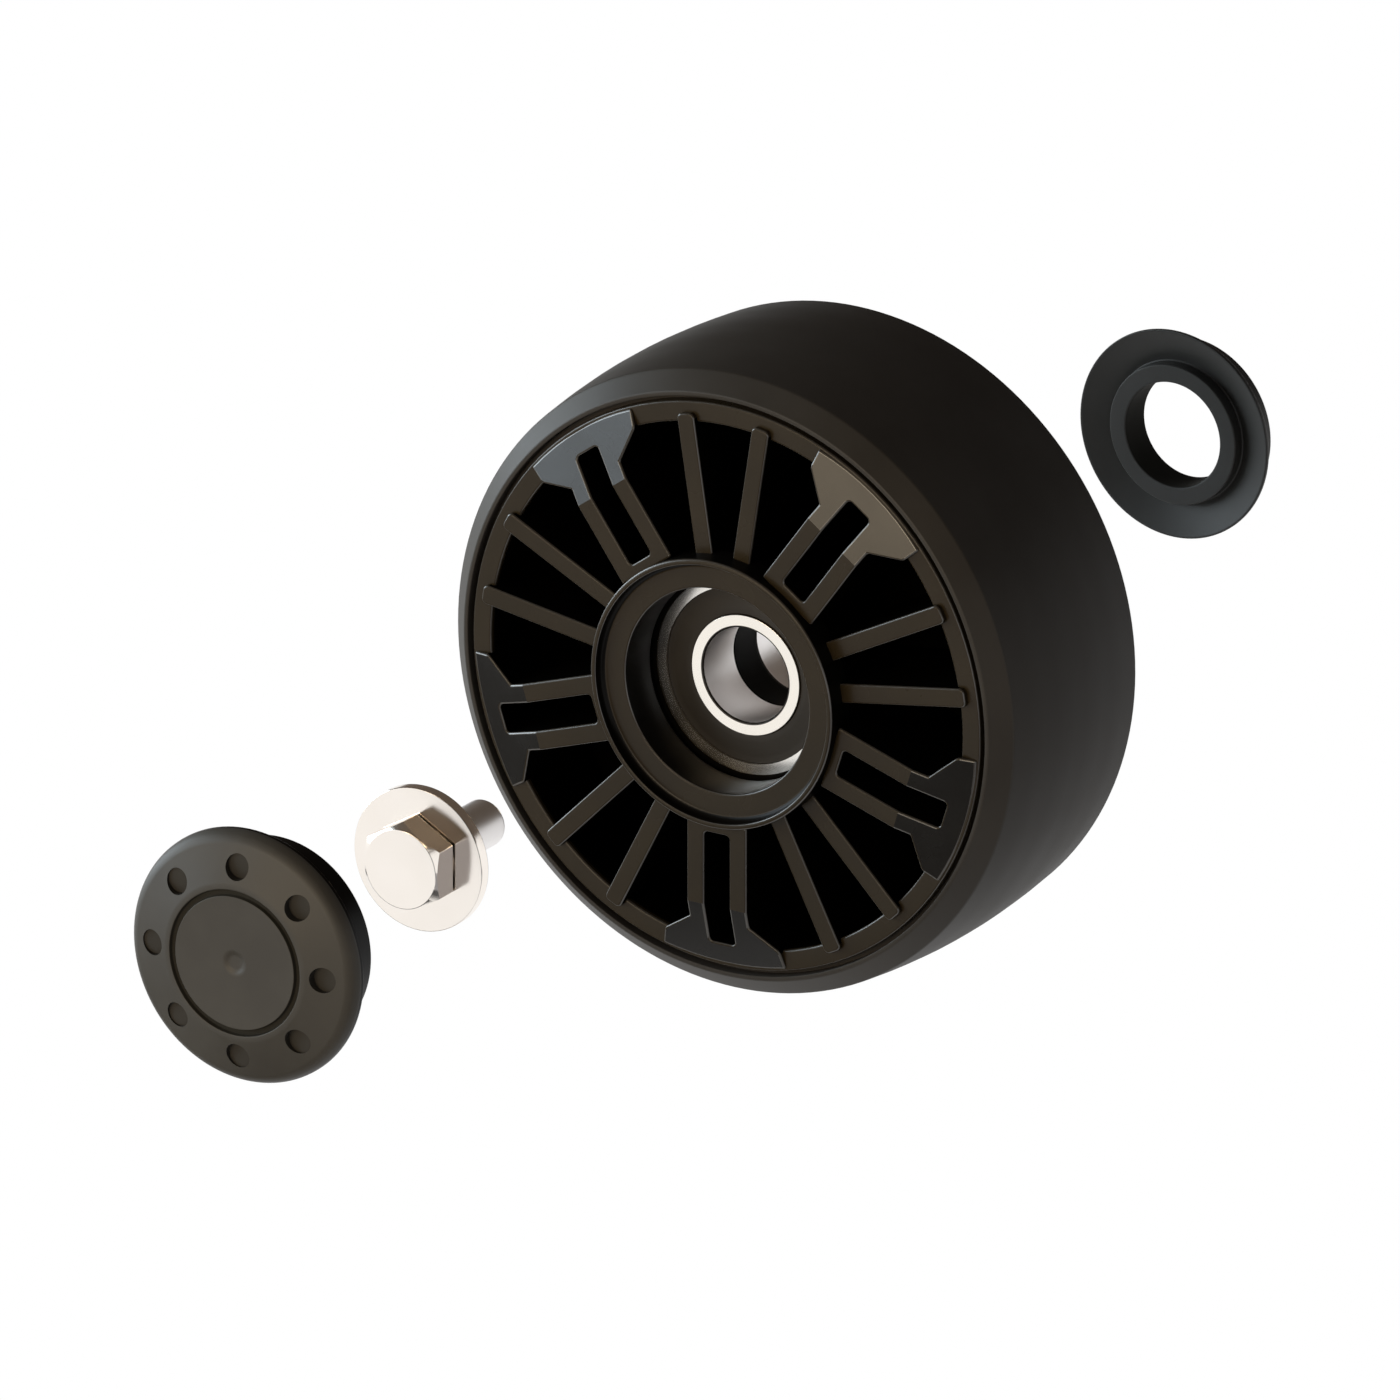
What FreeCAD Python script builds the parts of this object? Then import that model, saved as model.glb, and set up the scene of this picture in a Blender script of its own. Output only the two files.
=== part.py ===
import FreeCAD
import Part
import Sketcher
import math
import os

# Track idler wheel, drawn taken apart along its axle line as in the photograph.
# Millimetres. The axle line is Y, the front of the wheel faces -Y, and Z is up.
# The origin is the middle of the two bearings on the axle line.

os.makedirs("parts", exist_ok=True)
doc = FreeCAD.newDocument("idler_wheel")
sheet = doc.addObject("Spreadsheet::Sheet", "Sizes")


class Size:
    # A number that keeps the spreadsheet expression it was worked out from.
    def __init__(self, text, value):
        self.text = text
        self.value = value

    def combine(self, sign, other, value):
        return Size("(%s %s %s)" % (self.text, sign, as_size(other).text), value)

    def __add__(self, other):
        return self.combine("+", other, self.value + as_size(other).value)

    def __sub__(self, other):
        return self.combine("-", other, self.value - as_size(other).value)

    def __mul__(self, other):
        return self.combine("*", other, self.value * as_size(other).value)

    def __truediv__(self, other):
        return self.combine("/", other, self.value / as_size(other).value)

    def __neg__(self):
        return Size("(0 - %s)" % self.text, -self.value)


def as_size(number):
    if isinstance(number, Size):
        return number
    return Size("%.6f" % number, float(number))


row_count = [0]


def size(alias, value):
    row_count[0] += 1
    cell = "B%d" % row_count[0]
    sheet.set("A%d" % row_count[0], alias)
    sheet.set(cell, "%.9g" % value)
    sheet.setAlias(cell, alias)
    return Size("Sizes." + alias, float(value))


# Bearings, two of the 20 x 42 x 12 size
axle_radius = size("axle_radius", 10.0)
axle_slack = size("axle_slack", 0.02)
bearing_radius = size("bearing_radius", 21.0)
bearing_width = size("bearing_width", 12.0)
bearing_edge = size("bearing_edge", 0.5)
outer_edge = size("outer_edge", 0.15)
spacer_width = size("spacer_width", 8.0)
spacer_wall = size("spacer_wall", 2.4)
inner_race_depth = size("inner_race_depth", 0.375)
outer_race_depth = size("outer_race_depth", 0.675)
ball_share = size("ball_share", 0.288636364)
ball_count = size("ball_count", 9)
spacer_radius = axle_radius + spacer_wall
pitch_radius = (axle_radius + bearing_radius) / 2
ball_radius = (bearing_radius - axle_radius) * ball_share
inner_shoulder = pitch_radius - ball_radius + inner_race_depth
outer_shoulder = pitch_radius + ball_radius - outer_race_depth
race_slack = size("race_slack", 0.085)
pocket_slack = size("pocket_slack", 0.075)
cage_wall = size("cage_wall", 1.0)
cage_cover = size("cage_cover", 0.375)
cage_depth = ball_radius + cage_cover
shield_ledge = size("shield_ledge", 0.7)
shield_seat = outer_shoulder + shield_ledge
shield_inset = size("shield_inset", 0.4)
shield_dish = size("shield_dish", 0.25)
shield_flat = size("shield_flat", 1.2)
shield_margin = size("shield_margin", 1.4)
shield_thickness = size("shield_thickness", 0.9)
shield_slack = size("shield_slack", 0.08)
bore_bottom = bearing_width + spacer_width / 2
bearing_centre = (bearing_width + spacer_width) / 2
bore_radius = axle_radius + axle_slack

# Hub of the plastic core
hub_radius = size("hub_radius", 28.4)
hub_lip = size("hub_lip", 1.2)
hub_front = size("hub_front", -29.2)
hub_back = size("hub_back", 23.2)
cap_land = size("cap_land", -26.8)
cap_bore_rise = size("cap_bore_rise", 0.6)
cap_bore = bearing_radius + cap_bore_rise
relief_depth = size("relief_depth", 0.8)
relief_width = size("relief_width", 1.5)
shoulder_height = size("shoulder_height", 2.0)
shoulder_bore = bearing_radius - shoulder_height

# Rim, web and spokes of the core, set out from the rim's outside
rim_front = size("rim_front", -23.5)
rim_back = size("rim_back", 30.0)
rim_outside = size("rim_outside", 59.8)
rim_thickness = size("rim_thickness", 4.3)
rim_inside = rim_outside - rim_thickness
web_front = size("web_front", 0.3)
web_back = size("web_back", 6.3)
spoke_back = size("spoke_back", 26.5)
spoke_root = size("spoke_root", 0.5)
spoke_start = hub_radius - spoke_root
thin_front = size("thin_front", -24.8)
thin_width = size("thin_width", 4.0)
thin_end_set = size("thin_end_set", 2.3)
thin_corner = size("thin_corner", 1.1)
thin_end = rim_outside - thin_end_set
wide_front = size("wide_front", -27.0)
wide_half = size("wide_half", 7.0)
slot_half = size("slot_half", 3.0)
slot_set = size("slot_set", 2.0)
slot_start = hub_radius + slot_set
slot_end_set = size("slot_end_set", 5.2)
slot_end = rim_outside - slot_end_set
slot_corner = size("slot_corner", 0.8)
fold_set = size("fold_set", 13.8)
head_neck_set = size("head_neck_set", 10.3)
head_corner_set = size("head_corner_set", 6.1)
fold_radius = rim_outside - fold_set
head_neck = rim_outside - head_neck_set
head_corner = rim_outside - head_corner_set
head_half = size("head_half", 13.5)
head_outside_set = size("head_outside_set", 0.5)
head_outside = rim_outside - head_outside_set
head_slope_width = size("head_slope_width", 31.0)
wide_count = size("wide_count", 5)
spoke_step = size("spoke_step", 27.1)

# Rubber tyre moulded on the rim
tyre_thickness = size("tyre_thickness", 7.2)
tyre_flank_drop = size("tyre_flank_drop", 0.6)
tyre_corner_drop = size("tyre_corner_drop", 1.4)
tyre_lip_rise = size("tyre_lip_rise", 2.0)
tyre_radius = rim_outside + tyre_thickness
tyre_flank = tyre_radius - tyre_flank_drop
tyre_corner = tyre_radius - tyre_corner_drop
tyre_lip = rim_outside + tyre_lip_rise
tyre_gap = size("tyre_gap", 1.1)
tyre_gap_depth = size("tyre_gap_depth", 2.5)
tyre_bevel = size("tyre_bevel", 3.7)
tyre_flank_run = size("tyre_flank_run", 8.0)
tyre_crown_run = size("tyre_crown_run", 18.0)
tyre_stand = size("tyre_stand", 0.2)

# Hub cap
cap_edge = size("cap_edge", -200.6)
cap_edge_width = size("cap_edge_width", 1.2)
cap_rim_slack = size("cap_rim_slack", 0.9)
cap_radius = hub_radius - hub_lip - cap_rim_slack
cap_height = size("cap_height", 5.0)
cap_flat = size("cap_flat", 16.0)
cap_brow_set = size("cap_brow_set", 3.1)
cap_brow_drop = size("cap_brow_drop", 1.75)
cap_round_set = size("cap_round_set", 0.9)
cap_round_drop = size("cap_round_drop", 3.4)
cap_wall = size("cap_wall", 2.0)
plug_slack = size("plug_slack", 0.2)
plug_length = size("plug_length", 10.5)
cap_ring = size("cap_ring", 14.5)
cap_ring_width = size("cap_ring_width", 1.4)
cap_ring_depth = size("cap_ring_depth", 0.8)
dimple_circle = size("dimple_circle", 19.8)
dimple_radius = size("dimple_radius", 2.65)
dimple_depth = size("dimple_depth", 2.2)
dimple_count = size("dimple_count", 8)
cap_dent = size("cap_dent", 2.5)
cap_dent_depth = size("cap_dent_depth", 0.4)

# Axle bolt and washer
head_front = size("head_front", -144.8)
head_height = size("head_height", 6.5)
head_foot = size("head_foot", 0.45)
head_foot_radius = size("head_foot_radius", 7.9)
head_across = size("head_across", 17.0)
head_bevel_radius = size("head_bevel_radius", 8.2)
head_bevel = size("head_bevel", 1.1)
shank_radius = size("shank_radius", 4.9)
shank_length = size("shank_length", 25.0)
shank_bevel = size("shank_bevel", 1.0)
washer_radius = size("washer_radius", 15.0)
washer_hole = size("washer_hole", 5.25)
washer_thickness = size("washer_thickness", 2.5)

# Axle seal
seal_face = size("seal_face", 148.2)
seal_hole = size("seal_hole", 11.2)
seal_collar = size("seal_collar", 15.0)
seal_lip = size("seal_lip", 22.3)
seal_lip_slack = size("seal_lip_slack", 0.1)
seal_lip_set = size("seal_lip_set", 0.5)
seal_lip_edge = size("seal_lip_edge", 0.9)
seal_dish = size("seal_dish", 2.9)
seal_waist = size("seal_waist", 17.6)
seal_waist_front = size("seal_waist_front", 3.8)
seal_waist_back = size("seal_waist_back", 4.8)
seal_body = size("seal_body", 19.0)
seal_length = size("seal_length", 7.7)
seal_recess = seal_lip + seal_lip_slack
hub_lip_inside = cap_radius + cap_rim_slack

doc.recompute()


def new_body(label):
    body = doc.addObject("PartDesign::Body", label)
    body.Label = label
    return body


def new_sketch(body, name, plane_role, offset=None):
    sketch = body.newObject("Sketcher::SketchObject", name)
    plane = [item for item in body.Origin.OriginFeatures if item.Role == plane_role][0]
    sketch.AttachmentSupport = [(plane, "")]
    sketch.MapMode = "FlatFace"
    if offset is not None:
        sketch.AttachmentOffset = FreeCAD.Placement(FreeCAD.Vector(0, 0, offset.value), FreeCAD.Rotation())
        sketch.setExpression("AttachmentOffset.Base.z", offset.text)
    return sketch


def pin_point(sketch, geometry, point, tag, across, along):
    # Ties one sketch point to the sizes that place it.
    for kind, axis, number in (("DistanceX", -2, across), ("DistanceY", -1, along)):
        number = as_size(number)
        if abs(number.value) < 1e-9:
            sketch.addConstraint(Sketcher.Constraint("PointOnObject", geometry, point, axis))
            continue
        index = sketch.addConstraint(Sketcher.Constraint(kind, -1, 1, geometry, point, number.value))
        sketch.renameConstraint(index, tag + kind[-1].lower())
        sketch.setExpression("Constraints." + tag + kind[-1].lower(), number.text)


def draw_loop(sketch, points, tag="p"):
    # A closed outline of straight lines through the given points.
    first = sketch.GeometryCount
    count = len(points)
    places = [FreeCAD.Vector(as_size(a).value, as_size(b).value, 0) for a, b in points]
    for i in range(count):
        sketch.addGeometry(Part.LineSegment(places[i], places[(i + 1) % count]), False)
    for i in range(count):
        following = first + (i + 1) % count
        sketch.addConstraint(Sketcher.Constraint("Coincident", first + i, 2, following, 1))
    for i, (across, along) in enumerate(points):
        pin_point(sketch, first + i, 1, "%s%d" % (tag, i), across, along)


def draw_circle(sketch, across, along, radius, tag="c"):
    number = sketch.GeometryCount
    centre = FreeCAD.Vector(as_size(across).value, as_size(along).value, 0)
    sketch.addGeometry(Part.Circle(centre, FreeCAD.Vector(0, 0, 1), radius.value), False)
    pin_point(sketch, number, 3, tag, across, along)
    index = sketch.addConstraint(Sketcher.Constraint("Radius", number, radius.value))
    sketch.renameConstraint(index, tag + "r")
    sketch.setExpression("Constraints." + tag + "r", radius.text)


def turn_profile(body, name, points, kind="Revolution"):
    # Turns an outline of (radius, y) points about the axle line.
    sketch = new_sketch(body, name + "_profile", "XY_Plane")
    draw_loop(sketch, points)
    turned = body.newObject("PartDesign::" + kind, name)
    turned.Profile = sketch
    turned.ReferenceAxis = (sketch, ["V_Axis"])
    turned.Angle = 360
    doc.recompute()
    return turned


def turned_body(label, points):
    body = new_body(label)
    turn_profile(body, label + "_turned", points)
    return body


def pad_back(body, sketch, name, length):
    # Pads a sketch that faces the front towards the back.
    pad = body.newObject("PartDesign::Pad", name)
    pad.Profile = sketch
    pad.Reversed = True
    pad.Length = length.value
    pad.setExpression("Length", length.text)
    doc.recompute()
    return pad


def turn_copies(body, name, features, count):
    pattern = body.newObject("PartDesign::PolarPattern", name)
    pattern.Originals = features
    axis = [item for item in body.Origin.OriginFeatures if item.Role == "Y_Axis"][0]
    pattern.Axis = (axis, [""])
    pattern.Angle = 360
    pattern.Occurrences = int(count.value)
    pattern.setExpression("Occurrences", count.text)
    body.Tip = pattern
    doc.recompute()
    return pattern


finished = []


def keep(item):
    finished.append(item)
    return item


# Core: hub, web and rim turned in one piece
core = keep(new_body("wheel_core"))
seat_front = -bore_bottom
relief_front = seat_front - relief_width
relief_radius = cap_bore + relief_depth
shoulder = spacer_width / 2
turn_profile(core, "hub_and_rim", [
    (hub_radius, hub_front),
    (hub_radius, web_front),
    (rim_inside, web_front),
    (rim_inside, rim_front),
    (rim_outside, rim_front),
    (rim_outside, rim_back),
    (rim_inside, rim_back),
    (rim_inside, web_back),
    (hub_radius, web_back),
    (hub_radius, hub_back),
    (seal_recess, hub_back),
    (seal_recess, bore_bottom),
    (bearing_radius, bore_bottom),
    (bearing_radius, shoulder),
    (shoulder_bore, shoulder),
    (shoulder_bore, -shoulder),
    (bearing_radius, -shoulder),
    (bearing_radius, seat_front),
    (relief_radius, seat_front),
    (relief_radius, relief_front),
    (cap_bore, relief_front),
    (cap_bore, cap_land),
    (hub_lip_inside, cap_land),
    (hub_lip_inside, hub_front),
])

# Core: five wide slotted spokes with flared heads that slope back to the rim
head_side = math.atan2(head_half.value, head_corner.value)
head_sine = math.sin(head_side)
head_cosine = math.cos(head_side)
half_sine = math.sin(head_side / 2)
half_cosine = math.cos(head_side / 2)
wide_sketch = new_sketch(core, "wide_spoke_outline", "XZ_Plane", -wide_front)
draw_loop(wide_sketch, [
    (-wide_half, -spoke_start),
    (-wide_half, -head_neck),
    (-head_half, -head_corner),
    (-(head_outside * head_sine), -(head_outside * head_cosine)),
    (-(head_outside * half_sine), -(head_outside * half_cosine)),
    (0, -head_outside),
    (head_outside * half_sine, -(head_outside * half_cosine)),
    (head_outside * head_sine, -(head_outside * head_cosine)),
    (head_half, -head_corner),
    (wide_half, -head_neck),
    (wide_half, -spoke_start),
], "edge")
draw_loop(wide_sketch, [
    (-slot_half, -(slot_start + slot_corner)),
    (-slot_half, -(slot_end - slot_corner)),
    (-(slot_half - slot_corner), -slot_end),
    (slot_half - slot_corner, -slot_end),
    (slot_half, -(slot_end - slot_corner)),
    (slot_half, -(slot_start + slot_corner)),
    (slot_half - slot_corner, -slot_start),
    (-(slot_half - slot_corner), -slot_start),
], "slot")
wide_pad = pad_back(core, wide_sketch, "wide_spoke", spoke_back - wide_front)
slope_sketch = new_sketch(core, "head_slope_outline", "YZ_Plane")
draw_loop(slope_sketch, [
    (wide_front, -fold_radius),
    (wide_front - 1, -fold_radius),
    (wide_front - 1, -(rim_outside + 0.1)),
    (rim_front, -(rim_outside + 0.1)),
])
head_slope = core.newObject("PartDesign::Pocket", "head_slope")
head_slope.Profile = slope_sketch
head_slope.Type = "Length"
head_slope.Midplane = True
head_slope.Length = head_slope_width.value
head_slope.setExpression("Length", head_slope_width.text)
doc.recompute()
turn_copies(core, "wide_spokes", [wide_pad, head_slope], wide_count)

# Core: ten thin ribs, two in each bay, with blunt ends that lie on the rim
for side in (-1, 1):
    turn = math.radians(side * spoke_step.value)
    half = thin_width / 2
    blunt = half - thin_corner
    outline = [
        (-half, spoke_start),
        (-half, thin_end - thin_corner),
        (-blunt, thin_end),
        (blunt, thin_end),
        (half, thin_end - thin_corner),
        (half, spoke_start),
    ]
    placed = []
    for across, along in outline:
        placed.append((across * math.cos(turn) + along * math.sin(turn),
                       across * math.sin(turn) - along * math.cos(turn)))
    thin_sketch = new_sketch(core, "thin_rib_outline_%d" % (side + 1), "XZ_Plane", -thin_front)
    draw_loop(thin_sketch, placed)
    thin_pad = pad_back(core, thin_sketch, "thin_rib_%d" % (side + 1), spoke_back - thin_front)
    turn_copies(core, "thin_ribs_%d" % (side + 1), [thin_pad], wide_count)

# Tyre: crowned tread, bevelled shoulders and a narrow gap beside the rim
lip_inside = rim_outside + tyre_gap
gap_front = rim_front + tyre_gap_depth
gap_back = rim_back - tyre_gap_depth
lip_front = rim_front - tyre_stand
lip_back = rim_back + tyre_stand
corner_front = lip_front + tyre_bevel
corner_back = lip_back - tyre_bevel
keep(turned_body("tyre", [
    (rim_outside, gap_front),
    (lip_inside, gap_front),
    (lip_inside, lip_front),
    (tyre_lip, lip_front),
    (tyre_corner, corner_front),
    (tyre_flank, corner_front + tyre_flank_run),
    (tyre_radius, corner_front + tyre_crown_run),
    (tyre_radius, corner_back - tyre_crown_run),
    (tyre_flank, corner_back - tyre_flank_run),
    (tyre_corner, corner_back),
    (tyre_lip, lip_back),
    (lip_inside, lip_back),
    (lip_inside, gap_back),
    (rim_outside, gap_back),
]))

# Bearings: rings with ball grooves, cage halves, balls and rubber shields
race_radius = ball_radius + race_slack
pocket_radius = ball_radius + pocket_slack


def race_arc(shoulder_radius, outward):
    # Points along the ball groove between its two shoulders.
    reach = abs(shoulder_radius.value - pitch_radius.value)
    widest = math.acos(reach / race_radius.value)
    points = []
    for i in range(5):
        turn = widest * (i - 2) / 2
        points.append((pitch_radius + race_radius * (outward * math.cos(turn)), race_radius * math.sin(turn)))
    return points


half_width = bearing_width / 2
shield_outer = half_width - shield_inset
shield_step = shield_outer - shield_dish - shield_thickness
shield_bore = inner_shoulder + shield_slack
shield_brim = shield_seat - shield_margin
for name, centre in (("front", -bearing_centre), ("rear", bearing_centre)):
    def at(points):
        return [(radius, centre + as_size(along)) for radius, along in points]

    inner_points = [
        (bore_radius + bearing_edge, -half_width),
        (inner_shoulder, -half_width),
    ] + race_arc(inner_shoulder, -1) + [
        (inner_shoulder, half_width),
        (bore_radius + bearing_edge, half_width),
        (bore_radius, half_width - bearing_edge),
        (bore_radius, -(half_width - bearing_edge)),
    ]
    keep(turned_body(name + "_bearing_inner_ring", at(inner_points)))
    outer_points = [
        (bearing_radius - outer_edge, -half_width),
        (bearing_radius, -(half_width - outer_edge)),
        (bearing_radius, half_width - outer_edge),
        (bearing_radius - outer_edge, half_width),
        (shield_seat, half_width),
        (shield_seat, shield_step),
        (outer_shoulder, shield_step),
    ] + race_arc(outer_shoulder, 1)[::-1] + [
        (outer_shoulder, -shield_step),
        (shield_seat, -shield_step),
        (shield_seat, -half_width),
    ]
    keep(turned_body(name + "_bearing_outer_ring", at(outer_points)))
    for place, side in (("front", -1), ("rear", 1)):
        keep(turned_body("%s_bearing_%s_shield" % (name, place), at([
            (shield_bore, shield_outer * side),
            (shield_bore + shield_flat, shield_outer * side),
            (shield_brim, (shield_outer - shield_dish) * side),
            (shield_seat, (shield_outer - shield_dish) * side),
            (shield_seat, shield_step * side),
            (shield_brim, shield_step * side),
            (shield_bore + shield_flat, (shield_outer - shield_thickness) * side),
            (shield_bore, (shield_outer - shield_thickness) * side),
        ])))
    for place, near, far in (("front", -cage_depth, 0), ("rear", 0, cage_depth)):
        half_cage = keep(turned_body("%s_bearing_%s_cage_half" % (name, place), at([
            (pitch_radius - cage_wall, near),
            (pitch_radius - cage_wall, far),
            (pitch_radius + cage_wall, far),
            (pitch_radius + cage_wall, near),
        ])))
        pocket_sketch = new_sketch(half_cage, "%s_%s_pocket_outline" % (name, place), "XY_Plane")
        arc = []
        for i in range(9):
            turn = math.pi * i / 8
            across = pitch_radius + pocket_radius * math.sin(turn)
            arc.append((across, centre - pocket_radius * math.cos(turn)))
        draw_loop(pocket_sketch, arc)
        pocket = half_cage.newObject("PartDesign::Groove", "%s_%s_pocket" % (name, place))
        pocket.Profile = pocket_sketch
        pocket.ReferenceAxis = (pocket_sketch, ["Edge9"])
        pocket.Angle = 360
        doc.recompute()
        turn_copies(half_cage, "%s_%s_pockets" % (name, place), [pocket], ball_count)
    balls = []
    for i in range(int(ball_count.value)):
        ball = doc.addObject("Part::Sphere", "%s_ball_%d" % (name, i))
        ball.setExpression("Radius", ball_radius.text)
        turn = 2 * math.pi * i / ball_count.value
        ball.setExpression("Placement.Base.x", (pitch_radius * math.cos(turn)).text)
        ball.setExpression("Placement.Base.y", centre.text)
        ball.setExpression("Placement.Base.z", (pitch_radius * math.sin(turn)).text)
        balls.append(ball)
    group = doc.addObject("Part::Compound", name + "_bearing_balls")
    group.Label = name + "_bearing_balls"
    group.Links = balls
    keep(group)
    doc.recompute()

# Spacer sleeve between the two inner rings
keep(turned_body("bearing_spacer", [
    (bore_radius, -shoulder),
    (spacer_radius, -shoulder),
    (spacer_radius, shoulder),
    (bore_radius, shoulder),
]))

# Hub cap: rounded flange, hollow plug, ring groove and a circle of dimples
cap = keep(new_body("hub_cap"))
cap_face = cap_edge - cap_height
cap_seat = cap_edge + cap_edge_width
plug_radius = cap_bore - plug_slack
plug_end = cap_seat + plug_length
cap_floor = cap_face + dimple_depth + cap_wall * 0.7
turn_profile(cap, "cap_turned", [
    (0, cap_face + cap_dent_depth),
    (cap_dent * 0.6, cap_face + cap_dent_depth),
    (cap_dent, cap_face),
    (cap_ring - cap_ring_width / 2, cap_face),
    (cap_ring, cap_face + cap_ring_depth),
    (cap_ring + cap_ring_width / 2, cap_face),
    (cap_flat, cap_face),
    (cap_radius - cap_brow_set, cap_face + cap_brow_drop),
    (cap_radius - cap_round_set, cap_face + cap_round_drop),
    (cap_radius, cap_edge),
    (cap_radius, cap_seat),
    (plug_radius, cap_seat),
    (plug_radius, plug_end),
    (plug_radius - cap_wall, plug_end),
    (plug_radius - cap_wall, cap_floor),
    (0, cap_floor),
])
dimple_sketch = new_sketch(cap, "dimple_outline", "XZ_Plane", -(cap_face + dimple_depth))
draw_circle(dimple_sketch, 0, dimple_circle, dimple_radius)
dimple = cap.newObject("PartDesign::Pocket", "dimple")
dimple.Profile = dimple_sketch
dimple.Reversed = True
dimple.setExpression("Length", (dimple_depth * 2).text)
doc.recompute()
turn_copies(cap, "dimples", [dimple], dimple_count)

# Bolt: hexagon head with a bevelled top and a round foot, on a plain shank
bolt = keep(new_body("axle_bolt"))
head_back = head_front + head_height
shank_end = head_back + shank_length
turn_profile(bolt, "shank", [
    (0, head_front + head_bevel),
    (head_foot_radius, head_front + head_bevel),
    (head_foot_radius, head_back),
    (shank_radius, head_back),
    (shank_radius, shank_end - shank_bevel),
    (shank_radius - shank_bevel, shank_end),
    (0, shank_end),
])
hex_sketch = new_sketch(bolt, "hexagon_outline", "XZ_Plane", -head_front)
hex_corner = head_across / math.sqrt(3)
hex_points = []
for i in range(6):
    turn = math.radians(60 * i + 30)
    hex_points.append((hex_corner * math.cos(turn), hex_corner * math.sin(turn)))
draw_loop(hex_sketch, hex_points)
pad_back(bolt, hex_sketch, "hexagon", head_height - head_foot)
turn_profile(bolt, "head_edge", [
    (head_bevel_radius, head_front),
    (head_bevel_radius, head_front - 1),
    (hex_corner + 1, head_front - 1),
    (hex_corner + 1, head_front + head_bevel),
], "Groove")

# Washer under the bolt head
keep(turned_body("washer", [
    (washer_hole, head_back),
    (washer_radius, head_back),
    (washer_radius, head_back + washer_thickness),
    (washer_hole, head_back + washer_thickness),
]))

# Rubber seal: collar round the axle, dished lip and a ribbed body behind it
keep(turned_body("axle_seal", [
    (seal_hole, seal_face),
    (seal_collar, seal_face),
    (seal_collar, seal_face + seal_dish),
    (seal_lip - 0.4, seal_face + seal_lip_set),
    (seal_lip, seal_face + seal_lip_set),
    (seal_lip, seal_face + seal_lip_set + seal_lip_edge),
    (seal_waist, seal_face + seal_waist_front),
    (seal_waist, seal_face + seal_waist_back),
    (seal_body, seal_face + seal_waist_back),
    (seal_body, seal_face + seal_length),
    (seal_hole, seal_face + seal_length),
]))

doc.recompute()
for item in doc.Objects:
    if "Invalid" in item.State or "Error" in item.State:
        raise RuntimeError("%s did not build: %s" % (item.Name, item.State))
for item in finished:
    if item.Shape.isNull() or not item.Shape.isValid():
        raise RuntimeError("%s has no valid shape" % item.Label)
    item.Shape.exportStep("parts/%s.step" % item.Label)
    print(item.Label, len(item.Shape.Solids), "solids", round(item.Shape.Volume, 1), "mm3")
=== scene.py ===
import bpy
import math
from mathutils import Matrix, Vector


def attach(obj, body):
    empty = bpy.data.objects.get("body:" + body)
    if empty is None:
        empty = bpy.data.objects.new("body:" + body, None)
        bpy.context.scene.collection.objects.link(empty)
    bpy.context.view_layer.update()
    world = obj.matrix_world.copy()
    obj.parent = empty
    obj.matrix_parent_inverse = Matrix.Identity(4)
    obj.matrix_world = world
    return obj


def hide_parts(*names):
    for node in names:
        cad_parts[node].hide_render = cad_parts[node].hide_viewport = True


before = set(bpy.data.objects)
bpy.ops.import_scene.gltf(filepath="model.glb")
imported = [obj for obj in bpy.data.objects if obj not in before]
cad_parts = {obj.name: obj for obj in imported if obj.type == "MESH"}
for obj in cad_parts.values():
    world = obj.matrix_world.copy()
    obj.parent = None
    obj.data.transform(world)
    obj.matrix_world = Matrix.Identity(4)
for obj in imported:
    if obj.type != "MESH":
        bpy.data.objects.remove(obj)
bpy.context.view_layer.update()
mm = 0.001

# pieces are sized in millimetres; tiny, the studio, its lamps and its cards are in metres
tiny = 1e-6
slight = 0.01
spinSteps, fineSteps = 128, 160
broadRound, broadSegments, fineSegments = 0.6, 5, 3
print("frame loaded:", len(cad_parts), "nodes")


# hand tools used for every piece

def clearSelection():
    if bpy.context.object and bpy.context.object.mode != "OBJECT":
        bpy.ops.object.mode_set(mode="OBJECT")
    bpy.ops.object.select_all(action="DESELECT")


def makeActive(piece):
    clearSelection()
    piece.select_set(True)
    bpy.context.view_layer.objects.active = piece


def selectWhere(piece, kind, test):
    # picks the vertices whose place, or the faces which, pass the test
    bpy.ops.object.mode_set(mode="OBJECT")
    mesh = piece.data
    for group in (mesh.vertices, mesh.edges, mesh.polygons):
        group.foreach_set("select", [False] * len(group))
    chosen = mesh.vertices if kind == "VERT" else mesh.polygons
    for item in chosen:
        item.select = bool(test(item.co if kind == "VERT" else item))
    bpy.ops.object.mode_set(mode="EDIT")
    bpy.ops.mesh.select_mode(type=kind)


def startPoint(name, place):
    clearSelection()
    bpy.ops.mesh.primitive_plane_add(size=1 * mm, location=(0, 0, 0))
    piece = bpy.context.object
    piece.name = name
    piece.data.name = name
    bpy.ops.object.mode_set(mode="EDIT")
    bpy.ops.mesh.select_all(action="SELECT")
    bpy.ops.mesh.merge(type="CENTER")
    bpy.ops.transform.translate(value=place)
    return piece


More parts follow.
